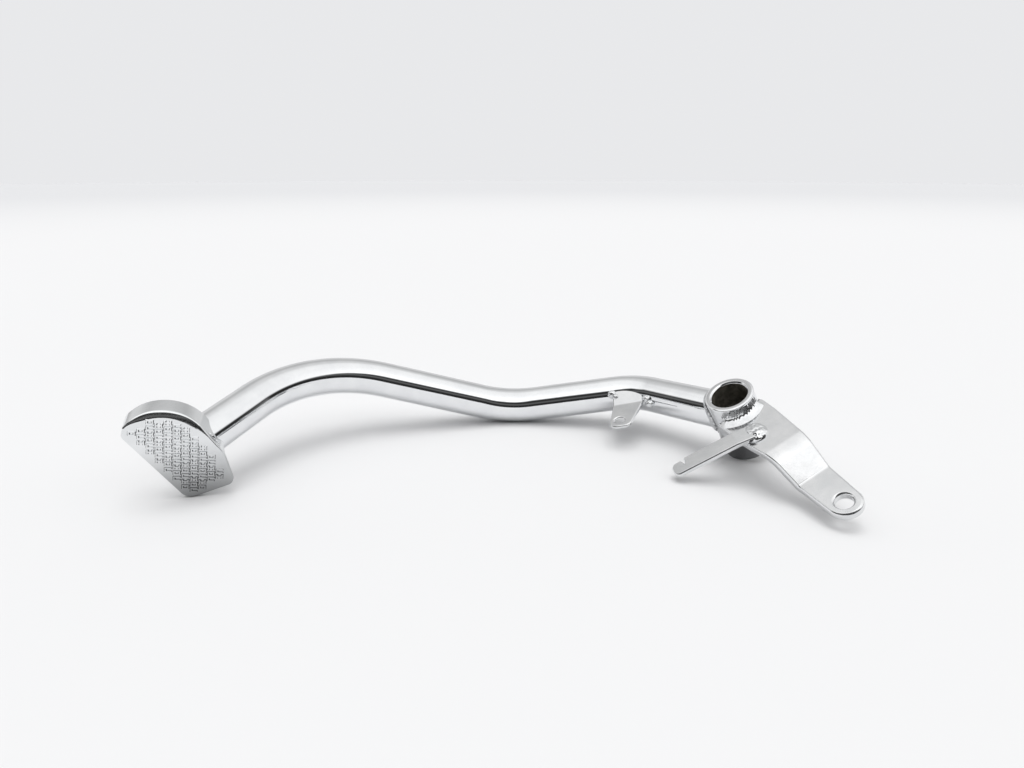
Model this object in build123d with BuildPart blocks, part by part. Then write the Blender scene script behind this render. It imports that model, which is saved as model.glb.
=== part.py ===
"""Rear brake pedal: a bent tube with a foot pad, a pivot tube, an actuating lever and two small brackets.

The pedal is modelled lying on a table, +Z up, with its origin at the middle of the pivot bore.
+X runs from the foot pad towards the lever, and the foot pad's grip face looks towards -Y.
"""
import os
from math import cos, radians, sin, tan

from build123d import *

os.makedirs("parts", exist_ok=True)

# Pivot tube, and the way it leans as the pedal lies
pivot_outer = 22.0
pivot_bore = 16.0
pivot_length = 33.0
pivot_rim_chamfer = 0.8
pivot_lean = 31.6
pivot_heading = 210.3

# Arm: a round tube with three bends
tube_outer = 18.0
tube_wall = 1.6
arm_rise = 4.0
side_bend = Vector(-41.2, 42.9, -0.2)
low_bend = Vector(-108.9, 51.9, -12.6)
high_bend = Vector(-208.3, 28.7, 19.0)
arm_end = Vector(-243.3, -44.1, 1.1)
side_bend_radius = 31.0
low_bend_radius = 50.0
high_bend_radius = 69.0

# Foot pad: a pressed plate whose upper edge is turned back, with a raised grip pattern
pad_thickness = 2.5
pad_heading = -75.0
pad_dip = 9.0
pad_flange_depth = 10.0
pad_flange_slope = 62.0
pad_draft = 4.0
pad_press_radius = 1.8
pad_crown_left = (-17.6, 14.4)
pad_crown_top = (-3.8, 20.3)
pad_crown_right = (10.4, 12.4)
pad_right_edge = (17.4, -0.6)
pad_right_corner = (19.8, -16.6)
pad_foot = (0.4, -22.2)
pad_left_corner = (-18.9, 10.4)
pad_crown_radius = 8.0
pad_edge_radius = 18.0
pad_right_radius = 3.0
pad_foot_radius = 5.0
pad_left_radius = 2.5
flange_middle = 2.6
flange_fall = 15.0
grip_turn = -9.5
grip_columns = 11
grip_rows = 18
grip_column_pitch = 3.26
grip_row_pitch = 2.75
grip_block_length = 2.6
grip_block_height = 2.0
grip_line = 0.55
grip_relief = 0.4
grip_margin = 2.0

# Brake lever: a stepped plate with a hole for the brake rod
lever_heading = -76.4
lever_thickness = 4.0
lever_top = 10.0
lever_step = 10.0
lever_step_angle = 42.0
lever_bend = 39.7
lever_bend_radius = 11.0
lever_foot_radius = 1.5
lever_hole = 7.0
lever_hole_reach = 68.0
lever_tip_radius = 7.0
lever_waist = (52.0, -7.4)
lever_hip = (36.0, -9.5)
lever_shoulder = (25.0, -11.2)
lever_root_left = (5.0, -12.4)
lever_root_right = (5.0, 10.9)
lever_right_edge = (16.0, 10.9)
lever_edge_radius = 30.0
lever_root_radius = 3.0

# Switch strip: a narrow plate with a notch, welded across the lever
strip_thickness = 2.5
strip_width = 8.4
strip_fold = (21.2, -13.0)
strip_heading = -105.0
strip_root = 8.0
strip_reach = 30.0
strip_droop = 6.0
strip_fold_radius = 12.0
strip_corner_radius = 2.5
notch_from_nose = 6.4
notch_depth = 3.9
notch_slant = 1.6
notch_floor = 0.4
notch_radius = 0.8
nose_setback = 0.9

# Spring tab: a small folded plate on the arm
tab_thickness = 2.0
tab_fold = Vector(-47.8, 26.2, -1.4)
tab_fold_line = Vector(0.95, -0.20, 0.25)
tab_facing = Vector(-0.28, -0.19, 0.94)
tab_fold_angle = 15.0
tab_fold_radius = 4.0
tab_root = 14.0
tab_reach = 18.8
tab_root_half = 7.4
tab_fold_left = -7.7
tab_fold_right = 7.6
tab_nose_left = -9.6
tab_nose_right = 0.8
tab_nose_radius = 4.2
tab_hole = 5.5
tab_hole_from_nose = 5.2

# Weld beads
weld_leg = 2.4
lever_weld_rise = 4.2
lever_weld_from = -58.0
lever_weld_sweep = 106.0
strip_weld_place = (23.3, -4.5)
strip_weld_radius = 6.2
strip_weld_rise = 3.2
tab_right_weld_place = Vector(-37.8, 27.6, 0.2)
tab_right_weld_radius = 3.2
tab_left_weld_place = Vector(-55.0, 35.2, 0.3)
tab_left_weld_radius = 2.5


def heading(angle, rise=0.0):
    """Unit vector at an angle from +X seen from above, raised by a second angle."""
    flat = cos(radians(rise))
    return Vector(flat * cos(radians(angle)), flat * sin(radians(angle)), sin(radians(rise)))


# Frame of the pivot: z is the bore's axis, x runs along the lever
pivot_axis = heading(pivot_heading, 90 - pivot_lean)
lever_aim = heading(lever_heading)
lever_along = (lever_aim - pivot_axis * lever_aim.dot(pivot_axis)).normalized()
pivot_plane = Plane(origin=(0, 0, 0), x_dir=lever_along, z_dir=pivot_axis)
pivot_radius = pivot_outer / 2
tube_radius = tube_outer / 2
tube_bore_radius = tube_radius - tube_wall

# Frame of the foot pad: z points out of the grip face, x runs level
pad_facing = heading(pad_heading, -pad_dip)
pad_plane = Plane(origin=arm_end, x_dir=heading(pad_heading + 90), z_dir=pad_facing)
grip_along = pad_plane.x_dir * cos(radians(grip_turn)) + pad_plane.y_dir * sin(radians(grip_turn))
grip_plane = Plane(origin=arm_end, x_dir=grip_along, z_dir=pad_facing)


def bent_path(points, radii):
    """Straight runs between the points, joined by tangent arcs of the given radii."""
    at = points[0]
    for corner, after, radius in zip(points[1:-1], points[2:], radii):
        incoming = (corner - at).normalized()
        outgoing = (after - corner).normalized()
        setback = radius * tan(radians(incoming.get_angle(outgoing) / 2))
        arc_start = corner - incoming * setback
        arc_end = corner + outgoing * setback
        Line(at, arc_start)
        TangentArc(arc_start, arc_end, tangent=incoming)
        at = arc_end
    Line(at, points[-1])


def plate_side(course, radii, thickness):
    """A plate seen from its side: the course is its upper face, with a radius at each inner point."""
    with BuildSketch() as side:
        with BuildLine() as upper_face:
            Polyline(*course)
            for place, radius in zip(course[1:-1], radii):
                fillet(upper_face.vertices().sort_by_distance(place)[0], radius)
            offset(amount=thickness, side=Side.RIGHT, closed=True)
        make_face()
    return side.sketch


def rounded_outline(points, rounding):
    """A closed outline through the points, rounded near the given places."""
    with BuildSketch() as outline:
        with BuildLine():
            Polyline(*points, close=True)
        make_face()
        for place, radius in rounding:
            fillet(outline.vertices().sort_by_distance(place)[0], radius)
    return outline.sketch


def pad_outline():
    """The foot pad's outline: an arc over the top and straight sides."""
    with BuildSketch() as outline:
        with BuildLine():
            crown = ThreePointArc(pad_crown_left, pad_crown_top, pad_crown_right)
            Polyline(crown @ 1, pad_right_edge, pad_right_corner, pad_foot, pad_left_corner, crown @ 0)
        make_face()
        for place, radius in (
            (pad_crown_right, pad_crown_radius),
            (pad_right_edge, pad_edge_radius),
            (pad_right_corner, pad_right_radius),
            (pad_foot, pad_foot_radius),
            (pad_left_corner, pad_left_radius),
        ):
            fillet(outline.vertices().sort_by_distance(place)[0], radius)
    return outline.sketch


def grip_places():
    """Middles of the grip marks: columns of marks that stay inside the pad's plain border."""
    turned = pad_outline().rotate(Axis.Z, -grip_turn)
    field = offset(turned, amount=-grip_margin, mode=Mode.PRIVATE).face()
    half_length = grip_block_length / 2
    half_height = grip_block_height / 2
    places = []
    for column in range(-(grip_columns // 2), grip_columns // 2 + 1):
        for row in range(-(grip_rows // 2), grip_rows // 2 + 1):
            middle = Vector(column * grip_column_pitch, (row + 0.5 * (column % 2)) * grip_row_pitch)
            corners = [
                middle + Vector(across * half_length, along * half_height)
                for across in (-1, 1)
                for along in (-1, 1)
            ]
            if all(field.is_inside(corner) for corner in corners):
                places.append(middle)
    return places


def grip_block(kind):
    """One raised mark of the grip pattern: a frame, a pair of bars or a frame with an open end."""
    if kind == 1:
        for side in (-1, 1):
            with Locations((side * (grip_block_length - grip_line) / 2, 0)):
                Rectangle(grip_line, grip_block_height)
        Rectangle(grip_block_length, grip_line)
        return
    Rectangle(grip_block_length, grip_block_height)
    hollow_shift = grip_line / 2 if kind == 2 else 0
    with Locations((hollow_shift, 0)):
        Rectangle(
            grip_block_length - 2 * grip_line + 2 * hollow_shift,
            grip_block_height - 2 * grip_line,
            mode=Mode.SUBTRACT,
        )


# Pivot tube
with BuildPart() as pivot_tube:
    with BuildSketch(pivot_plane):
        Circle(pivot_radius)
        Circle(pivot_bore / 2, mode=Mode.SUBTRACT)
    extrude(amount=pivot_length / 2, both=True)
    chamfer(pivot_tube.edges().filter_by(GeomType.CIRCLE), pivot_rim_chamfer)
pivot_tube.part.label = "pivot_tube"
export_step(pivot_tube.part, "parts/pivot_tube.step")

# Foot pad
pad_back = pad_plane.offset(-pad_thickness)
flange_hinge = pad_back.from_local_coords((0, flange_middle, 0))
flange_line = pad_plane.x_dir * cos(radians(flange_fall)) - pad_plane.y_dir * sin(radians(flange_fall))
flange_side = Plane(origin=flange_hinge, x_dir=pad_facing.cross(flange_line), z_dir=flange_line)
flange_behind = pad_flange_depth + 2
flange_run = flange_behind / tan(radians(pad_flange_slope))
pad_reach = 60
with BuildPart() as foot_pad:
    with BuildSketch(pad_plane):
        add(pad_outline())
    extrude(amount=-pad_flange_depth, taper=-pad_draft)
    fillet(foot_pad.faces().sort_by_distance(pad_plane.origin)[0].outer_wire().edges(), pad_press_radius)
    with BuildSketch(pad_back):
        add(pad_outline())
        offset(amount=-pad_thickness)
    extrude(amount=-pad_flange_depth, taper=-pad_draft, mode=Mode.SUBTRACT)
    with BuildSketch(flange_side):
        with BuildLine():
            Polyline(
                (0, 0),
                (flange_run, -flange_behind),
                (-pad_reach, -flange_behind),
                (-pad_reach, 0),
                close=True,
            )
        make_face()
    extrude(amount=pad_reach, both=True, mode=Mode.SUBTRACT)
    with BuildSketch(grip_plane):
        for number, place in enumerate(grip_places()):
            with Locations(place):
                grip_block(number % 3)
    extrude(amount=grip_relief)
foot_pad.part.label = "foot_pad"
export_step(foot_pad.part, "parts/foot_pad.step")

# Arm tube, cut to a saddle at the pivot and coped to the pad
arm_start = pivot_axis * arm_rise
arm_points = [arm_start, side_bend, low_bend, high_bend, arm_end]
arm_along = (side_bend - arm_start).normalized()
arm_mouth = Plane(origin=arm_start, z_dir=arm_along)
with BuildLine() as arm_line:
    bent_path(arm_points, [side_bend_radius, low_bend_radius, high_bend_radius])
with BuildPart() as arm_core:
    with BuildSketch(arm_mouth):
        Circle(tube_radius)
    sweep(path=arm_line.wire())
with BuildPart() as arm_tube:
    with BuildSketch(arm_mouth):
        Circle(tube_radius)
        Circle(tube_bore_radius, mode=Mode.SUBTRACT)
    sweep(path=arm_line.wire())
    with BuildSketch(pivot_plane):
        Circle(pivot_radius)
    extrude(amount=pivot_length, both=True, mode=Mode.SUBTRACT)
    with BuildSketch(pad_back):
        Circle(pad_reach)
    extrude(amount=tube_outer, mode=Mode.SUBTRACT)
    add(foot_pad.part, mode=Mode.SUBTRACT)
arm_tube.part.label = "arm_tube"
export_step(arm_tube.part, "parts/arm_tube.step")

# Brake lever
lever_low = lever_top - lever_step
lever_foot = lever_bend + lever_step / tan(radians(lever_step_angle))
lever_end = lever_hole_reach + lever_tip_radius
lever_side = Plane(origin=(0, 0, 0), x_dir=lever_along, z_dir=lever_along.cross(pivot_axis))
lever_course = [(0, lever_top), (lever_bend, lever_top), (lever_foot, lever_low), (lever_end + 1, lever_low)]
with BuildPart() as brake_lever:
    with BuildSketch(lever_side):
        add(plate_side(lever_course, [lever_bend_radius, lever_foot_radius], lever_thickness))
    extrude(amount=pivot_outer, both=True)
    with BuildSketch(pivot_plane) as lever_outline:
        with BuildLine():
            tip = ThreePointArc(
                (lever_hole_reach, lever_tip_radius),
                (lever_end, 0),
                (lever_hole_reach, -lever_tip_radius),
            )
            Polyline(
                tip @ 1,
                lever_waist,
                lever_hip,
                lever_shoulder,
                lever_root_left,
                lever_root_right,
                lever_right_edge,
                tip @ 0,
            )
        make_face()
        for place in (lever_waist, lever_hip, lever_shoulder):
            fillet(lever_outline.vertices().sort_by_distance(place)[0], lever_edge_radius)
        fillet(lever_outline.vertices().sort_by_distance(lever_root_right)[0], lever_root_radius)
        with Locations((lever_hole_reach, 0)):
            Circle(lever_hole / 2, mode=Mode.SUBTRACT)
        Circle(pivot_radius, mode=Mode.SUBTRACT)
    extrude(amount=pivot_length, both=True, mode=Mode.INTERSECT)
brake_lever.part.label = "brake_lever"
export_step(brake_lever.part, "parts/brake_lever.step")

# Switch strip
strip_base = Plane(
    origin=pivot_plane.from_local_coords((*strip_fold, lever_top)),
    x_dir=pivot_plane.from_local_coords(Vector(1, 0).rotate(Axis.Z, strip_heading)),
    z_dir=pivot_axis,
)
strip_side = Plane(origin=strip_base.origin, x_dir=strip_base.x_dir, z_dir=-strip_base.y_dir)
strip_half = strip_width / 2
strip_drop = strip_reach * tan(radians(strip_droop))
strip_course = [
    (-strip_root, strip_thickness),
    (0, strip_thickness),
    (strip_reach + 1, strip_thickness - strip_drop),
]
notch_reach = strip_reach - notch_from_nose
nose_back = nose_setback - strip_half
strip_points = [
    (-strip_root, -strip_half),
    (notch_reach, -strip_half),
    (notch_reach + notch_floor, notch_depth - strip_half),
    (notch_reach + notch_slant, nose_back),
    (strip_reach, nose_back),
    (strip_reach, strip_half),
    (-strip_root, strip_half),
]
strip_rounding = [
    ((strip_reach, strip_half), strip_corner_radius),
    ((strip_reach, nose_back), strip_corner_radius),
    ((notch_reach, -strip_half), notch_radius),
    ((notch_reach + notch_slant, nose_back), notch_radius),
]
with BuildPart() as switch_strip:
    with BuildSketch(strip_side):
        add(plate_side(strip_course, [strip_fold_radius], strip_thickness))
    extrude(amount=strip_width, both=True)
    with BuildSketch(strip_base):
        add(rounded_outline(strip_points, strip_rounding))
    extrude(amount=pivot_length, both=True, mode=Mode.INTERSECT)
switch_strip.part.label = "switch_strip"
export_step(switch_strip.part, "parts/switch_strip.step")

# Spring tab, cut to the arm's round
tab_plane = Plane(origin=tab_fold, x_dir=tab_fold_line, z_dir=tab_facing)
tab_side = Plane(origin=tab_fold, x_dir=-tab_plane.y_dir, z_dir=-tab_plane.x_dir)
tab_rise = tab_root * tan(radians(tab_fold_angle))
tab_course = [(-tab_root, tab_rise), (0, 0), (tab_reach + 1, 0)]
tab_points = [
    (-tab_root_half, tab_root),
    (tab_fold_left, 0),
    (tab_nose_left, -tab_reach),
    (tab_nose_right, -tab_reach),
    (tab_fold_right, 0),
    (tab_root_half, tab_root),
]
tab_rounding = [(tab_points[2], tab_nose_radius), (tab_points[3], tab_nose_radius)]
tab_hole_place = ((tab_nose_left + tab_nose_right) / 2, tab_hole_from_nose - tab_reach)
with BuildPart() as spring_tab:
    with BuildSketch(tab_side):
        add(plate_side(tab_course, [tab_fold_radius], tab_thickness))
    extrude(amount=tab_reach, both=True)
    with BuildSketch(tab_plane):
        add(rounded_outline(tab_points, tab_rounding))
        with Locations(tab_hole_place):
            Circle(tab_hole / 2, mode=Mode.SUBTRACT)
    extrude(amount=tab_reach, both=True, mode=Mode.INTERSECT)
    add(arm_core.part, mode=Mode.SUBTRACT)
spring_tab.part.label = "spring_tab"
export_step(spring_tab.part, "parts/spring_tab.step")

# Weld between the arm and the pivot tube: a bead along the saddle
with BuildPart() as arm_to_pivot_weld:
    with BuildSketch(arm_mouth):
        Circle(tube_radius + weld_leg)
    extrude(amount=pivot_radius + 2 * weld_leg)
    with BuildSketch(pivot_plane):
        Circle(pivot_radius + weld_leg)
    extrude(amount=pivot_length, both=True, mode=Mode.INTERSECT)
    with BuildSketch(pivot_plane):
        Circle(pivot_radius)
    extrude(amount=pivot_length, both=True, mode=Mode.SUBTRACT)
    add(arm_core.part, mode=Mode.SUBTRACT)
arm_to_pivot_weld.part.label = "arm_to_pivot_weld"
export_step(arm_to_pivot_weld.part, "parts/arm_to_pivot_weld.step")

# Weld between the arm and the foot pad's back
arm_last = (high_bend - arm_end).normalized()
with BuildPart() as arm_to_pad_weld:
    with BuildSketch(Plane(origin=arm_end, z_dir=arm_last)):
        Circle(tube_radius + weld_leg)
    extrude(amount=2 * tube_outer, both=True)
    with BuildSketch(pad_back):
        add(pad_outline())
    extrude(amount=-weld_leg, mode=Mode.INTERSECT)
    add(arm_core.part, mode=Mode.SUBTRACT)
    add(foot_pad.part, mode=Mode.SUBTRACT)
arm_to_pad_weld.part.label = "arm_to_pad_weld"
export_step(arm_to_pad_weld.part, "parts/arm_to_pad_weld.step")

# Weld between the lever and the pivot tube: a bead round the tube's front
bead_from = pivot_plane.from_local_coords(Vector(1, 0).rotate(Axis.Z, lever_weld_from))
bead_side = Plane(origin=(0, 0, 0), x_dir=bead_from, z_dir=bead_from.cross(pivot_axis))
with BuildPart() as lever_to_pivot_weld:
    with BuildSketch(bead_side):
        with BuildLine():
            toe = (pivot_radius + weld_leg, lever_top)
            top = (pivot_radius, lever_top + lever_weld_rise)
            crown = (pivot_radius + 0.65 * weld_leg, lever_top + 0.62 * lever_weld_rise)
            ThreePointArc(toe, crown, top)
            Polyline(top, (pivot_radius, lever_top), toe)
        make_face()
    revolve(axis=Axis((0, 0, 0), pivot_axis), revolution_arc=lever_weld_sweep)
lever_to_pivot_weld.part.label = "lever_to_pivot_weld"
export_step(lever_to_pivot_weld.part, "parts/lever_to_pivot_weld.step")

# Weld over the switch strip's root: a low dome on the lever
with BuildPart() as strip_weld:
    dome_middle = pivot_plane.from_local_coords(
        (*strip_weld_place, lever_top + strip_weld_rise - strip_weld_radius)
    )
    with Locations(dome_middle):
        Sphere(strip_weld_radius)
    split(bisect_by=pivot_plane.offset(lever_top), keep=Keep.TOP)
    add(switch_strip.part, mode=Mode.SUBTRACT)
strip_weld.part.label = "strip_weld"
export_step(strip_weld.part, "parts/strip_weld.step")

# Tack welds at the two ends of the spring tab's root
with BuildPart() as tab_right_weld:
    with Locations(tab_right_weld_place):
        Sphere(tab_right_weld_radius)
    add(arm_core.part, mode=Mode.SUBTRACT)
    add(spring_tab.part, mode=Mode.SUBTRACT)
tab_right_weld.part.label = "tab_right_weld"
export_step(tab_right_weld.part, "parts/tab_right_weld.step")

with BuildPart() as tab_left_weld:
    with Locations(tab_left_weld_place):
        Sphere(tab_left_weld_radius, rotation=(90, 0, 0))
    add(arm_core.part, mode=Mode.SUBTRACT)
    add(spring_tab.part, mode=Mode.SUBTRACT)
tab_left_weld.part.label = "tab_left_weld"
export_step(tab_left_weld.part, "parts/tab_left_weld.step")
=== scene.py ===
"""Looks of the rear brake pedal: a plated tube arm, a grip-faced pad, bent plates and their weld beads."""
from math import atan2, cos, exp, pi, radians, sin, sqrt, tan, tau

import bmesh
import bpy
from mathutils import Matrix, Vector, noise


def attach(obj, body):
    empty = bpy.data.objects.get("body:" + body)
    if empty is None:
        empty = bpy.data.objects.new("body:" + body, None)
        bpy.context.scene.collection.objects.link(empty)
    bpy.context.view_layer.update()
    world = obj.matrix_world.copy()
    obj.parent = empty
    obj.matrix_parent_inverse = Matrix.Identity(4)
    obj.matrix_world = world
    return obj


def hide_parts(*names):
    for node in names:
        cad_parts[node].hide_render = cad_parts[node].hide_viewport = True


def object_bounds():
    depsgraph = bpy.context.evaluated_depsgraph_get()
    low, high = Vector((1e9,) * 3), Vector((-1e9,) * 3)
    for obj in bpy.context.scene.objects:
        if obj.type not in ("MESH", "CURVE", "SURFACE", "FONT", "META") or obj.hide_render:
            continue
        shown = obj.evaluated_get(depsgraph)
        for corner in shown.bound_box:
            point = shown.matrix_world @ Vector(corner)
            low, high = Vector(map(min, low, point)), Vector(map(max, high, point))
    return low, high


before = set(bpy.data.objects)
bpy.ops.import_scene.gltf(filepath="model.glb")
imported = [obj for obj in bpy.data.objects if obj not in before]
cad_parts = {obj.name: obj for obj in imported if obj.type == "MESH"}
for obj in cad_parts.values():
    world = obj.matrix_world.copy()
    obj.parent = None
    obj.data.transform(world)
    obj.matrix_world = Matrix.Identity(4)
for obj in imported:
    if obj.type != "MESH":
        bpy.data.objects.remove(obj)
cad_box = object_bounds()

# Lengths are in metres, written as millimetres times mm. Angles are in degrees.
mm = 0.001

# Pivot tube
pivot_radius = 11.0 * mm
pivot_bore_radius = 8.0 * mm
pivot_length = 33.0 * mm
pivot_rim_chamfer = 0.8 * mm
pivot_rim_slope = 0.5
pivot_rim_ease = 0.18 * mm
pivot_face_reach = 0.02 * mm
pivot_lean = 31.6
pivot_heading = 210.3

# Arm
tube_radius = 9.0 * mm
arm_rise = 4.0 * mm
side_bend = Vector((-41.2, 42.9, -0.2)) * mm
low_bend = Vector((-108.9, 51.9, -12.6)) * mm
high_bend = Vector((-208.3, 28.7, 19.0)) * mm
arm_end = Vector((-243.3, -44.1, 1.1)) * mm
bend_radii = (31.0 * mm, 50.0 * mm, 69.0 * mm)
arm_end_sink = 0.2 * mm
arm_end_reach = 0.01 * mm
bend_steps = 40
tube_steps = 96

# Foot pad. The crown and the corners are in the pad's plane, each corner with its radius.
pad_thickness = 2.5 * mm
pad_heading = -75.0
pad_dip = 9.0
pad_crown = (Vector((-17.6, 14.4)) * mm, Vector((-3.8, 20.3)) * mm, Vector((10.4, 12.4)) * mm)
pad_crown_radii = (1.5 * mm, 8.0 * mm)
pad_corners = (
    (Vector((17.4, -0.6)) * mm, 18.0 * mm),
    (Vector((19.8, -16.6)) * mm, 3.0 * mm),
    (Vector((0.4, -22.2)) * mm, 5.0 * mm),
    (Vector((-18.9, 10.4)) * mm, 2.5 * mm),
)
pad_draft = 4.0
pad_flange_depth = 10.0 * mm
pad_flange_slope = 62.0
flange_middle = 2.6 * mm
flange_fall = 15.0
pad_edge_points = 520
pad_roll = 1.2 * mm
pad_crown_roll = 10.5 * mm
pad_roll_turns = (24.0, 36.0)
crown_roll_from = 8 * mm
crown_roll_blend = 7 * mm
pad_rim = 0.35 * mm
pad_rim_cut = (0.08 * mm, 0.1 * mm)
grip_relief = 0.4 * mm
grip_skirt = Vector((0.32, 0.15, 0)) * mm
grip_foot = -0.06 * mm
grip_taper = -0.04 * mm
# Painted shade on the grip marks' walls that face sideways, so the marks show dark outlines.
side_wall_shade = 0.5
# Painted shade: the pad darkens towards its foot and the pivot tube towards its lower end, where they mirror
# the shadowed table.
pad_shade = (-19 * mm, 9 * mm, 0.42)
pivot_shade = (-8 * mm, 0.0, 0.2)

# Lever, switch strip and spring tab
lever_heading = -76.4
lever_top = 10.0 * mm
strip_weld_place = (23.3 * mm, -4.5 * mm)
strip_weld_base = 5.3 * mm
strip_weld_rise = 3.4 * mm
strip_pool = Vector((-0.14, 0.1, 0))
strip_pit = Vector((0.55, -0.35, 0))
strip_curl_height = 0.55 * mm
strip_lump_height = 0.32 * mm
strip_pit_depth = 0.7 * mm
strip_weld_sink = 0.1 * mm
tab_right_lumps = (
    (Vector((-37.2, 24.4, -0.9)) * mm, 2.3 * mm),
    (Vector((-38.6, 26.1, 1.0)) * mm, 2.35 * mm),
)
tab_left_lumps = (
    (Vector((-54.8, 34.9, 0.5)) * mm, 2.3 * mm),
    (Vector((-53.1, 32.9, -0.3)) * mm, 1.7 * mm),
)
plate_edge_radius = 0.95 * mm
tab_edge_radius = 0.6 * mm
plate_edge_steps = 6
plate_edge_profile = 0.34
plate_sharp_angle = 28
merge_distance = 0.001 * mm

# Weld beads. The lever's bead starts at its first tilt and turns up the pivot tube's wall to its second.
weld_leg = 2.4 * mm
weld_sink = 0.3 * mm
weld_toe_sink = 0.05 * mm
pivot_toe_part = 0.998
weld_bulge = 0.1 * mm
ripple_height = 0.25 * mm
ripple_pitch = 1.5 * mm
lever_weld_rise = 5.3 * mm
lever_weld_tilts = (38.0, 76.0)
lever_weld_lean = 17.0
lever_weld_pitted = 2.9 * mm
lever_weld_ragged = 1.3 * mm
lever_drop_height = 0.2 * mm
lever_pit_depth = 0.45 * mm
lever_wave_height = 0.08 * mm
lever_weld_from = -61.0
lever_weld_sweep = 109.0
arm_weld_pitted = 0.5 * mm
arm_weld_ragged = 0.9 * mm
arm_seam_depth = 3.4

# Camera and table
image_width = 1024
focal_pixels = 679.9
sensor_width = 36.0
camera_place = Vector((-106.6, -298.9, 114.3)) * mm
camera_dip = 17.95
table_radius = 6.0
# Painted falloff of light: the table darkens between these distances.
table_fade_start = 1.2
table_fade_end = 3.6
lamp_power = 1.0
lamp_width = 42.0
lamp_tilt = -3.0

# Light tent: brightness over a direction's height or side, each from 0 to 1
tent_strength = 2.5
tent_front_to_back = (
    (0.0, 0.6),
    (0.15, 0.58),
    (0.35, 0.47),
    (0.5, 0.43),
    (0.6, 0.42),
    (0.67, 0.4),
    (0.76, 0.3),
    (1.0, 0.29),
)
tent_back_by_height = ((0.0, 0.6), (0.15, 1.0), (0.35, 1.0), (0.58, 0.7), (0.7, 0.82), (0.8, 1.0))
room_height_by_side = (
    (0.0, 0.48),
    (0.05, 0.58),
    (0.3, 0.62),
    (0.5, 0.59),
    (0.66, 0.58),
    (0.84, 0.5),
    (0.92, 0.42),
    (1.0, 0.28),
)
room_by_height = (
    (0.0, 0.03),
    (0.08, 0.008),
    (0.22, 0.012),
    (0.28, 0.05),
    (0.36, 0.045),
    (0.44, 0.012),
    (0.6, 0.015),
)
backdrop_colour = (0.81, 0.815, 0.83, 1.0)


def clamped(value):
    """A value kept between 0 and 1."""
    return min(1.0, max(0.0, value))


def hump(value, middle, width):
    """A soft hump of height 1 round a middle value."""
    return exp(-(((value - middle) / width) ** 2))


def heading(angle, rise=0.0):
    """Unit vector at an angle from +X seen from above, raised by a second angle."""
    flat = cos(radians(rise))
    return Vector((flat * cos(radians(angle)), flat * sin(radians(angle)), sin(radians(rise))))


def frame_matrix(origin, x_dir, z_dir):
    """Matrix of a frame from its origin, x and z directions."""
    y_dir = z_dir.cross(x_dir)
    matrix = Matrix((x_dir, y_dir, z_dir)).transposed().to_4x4()
    matrix.translation = origin
    return matrix


pivot_axis = heading(pivot_heading, 90 - pivot_lean)
lever_aim = heading(lever_heading)
lever_along = (lever_aim - pivot_axis * lever_aim.dot(pivot_axis)).normalized()
pivot_frame = frame_matrix(Vector(), lever_along, pivot_axis)
pad_facing = heading(pad_heading, -pad_dip)
pad_frame = frame_matrix(arm_end, heading(pad_heading + 90), pad_facing)
pad_back_place = arm_end - pad_facing * pad_thickness
arm_start = pivot_axis * arm_rise
arm_first = (side_bend - arm_start).normalized()
arm_last = (high_bend - arm_end).normalized()


def node(tree, kind, inputs=None, **settings):
    """A new node with its settings and input values."""
    made = tree.nodes.new(kind)
    for key, value in settings.items():
        setattr(made, key, value)
    for key, value in (inputs or {}).items():
        if isinstance(value, bpy.types.NodeSocket):
            tree.links.new(value, made.inputs[key])
        else:
            made.inputs[key].default_value = value
    return made


def ramp(tree, factor, stops):
    """A colour ramp of grey or coloured stops."""
    made = node(tree, "ShaderNodeValToRGB", {"Fac": factor})
    band = made.color_ramp
    while len(band.elements) < len(stops):
        band.elements.new(1.0)
    for element, (place, value) in zip(band.elements, stops):
        element.position = place
        colour = value if isinstance(value, tuple) else (value, value, value)
        element.color = (*colour, 1.0)
    return made.outputs["Color"]


def blank_material(name):
    """A new material with its emptied tree and the object coordinates in it."""
    material = bpy.data.materials.new(name)
    material.use_nodes = True
    tree = material.node_tree
    tree.nodes.clear()
    return material, tree, node(tree, "ShaderNodeTexCoord").outputs["Object"]


def plated_steel(name, dark, bright, rough_low, rough_high, grain, grain_depth, wave_depth):
    """Bright plated steel: a little cloudy in colour and gloss, with a fine grain and a slow waviness."""
    material, tree, place = blank_material(name)
    cloud = node(
        tree, "ShaderNodeTexNoise", {"Vector": place, "Scale": 90.0, "Detail": 9.0, "Roughness": 0.65}
    )
    colour = ramp(tree, cloud.outputs["Fac"], ((0.35, dark), (0.65, bright)))
    smear = node(tree, "ShaderNodeTexNoise", {"Vector": place, "Scale": 260.0, "Detail": 5.0})
    gloss = node(
        tree,
        "ShaderNodeMapRange",
        {
            "Value": smear.outputs["Fac"],
            "From Min": 0.3,
            "From Max": 0.7,
            "To Min": rough_low,
            "To Max": rough_high,
        },
    )
    wave = node(tree, "ShaderNodeTexNoise", {"Vector": place, "Scale": 55.0, "Detail": 1.0})
    slow = node(
        tree, "ShaderNodeBump", {"Height": wave.outputs["Fac"], "Distance": wave_depth, "Strength": 1.0}
    )
    sand = node(tree, "ShaderNodeTexNoise", {"Vector": place, "Scale": grain, "Detail": 2.0})
    fine = node(
        tree,
        "ShaderNodeBump",
        {
            "Height": sand.outputs["Fac"],
            "Distance": grain_depth,
            "Strength": 1.0,
            "Normal": slow.outputs["Normal"],
        },
    )
    shader = node(
        tree,
        "ShaderNodeBsdfPrincipled",
        {
            "Base Color": colour,
            "Metallic": 1.0,
            "Roughness": gloss.outputs["Result"],
            "Normal": fine.outputs["Normal"],
        },
    )
    node(tree, "ShaderNodeOutputMaterial", {"Surface": shader.outputs["BSDF"]})
    return material


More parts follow.
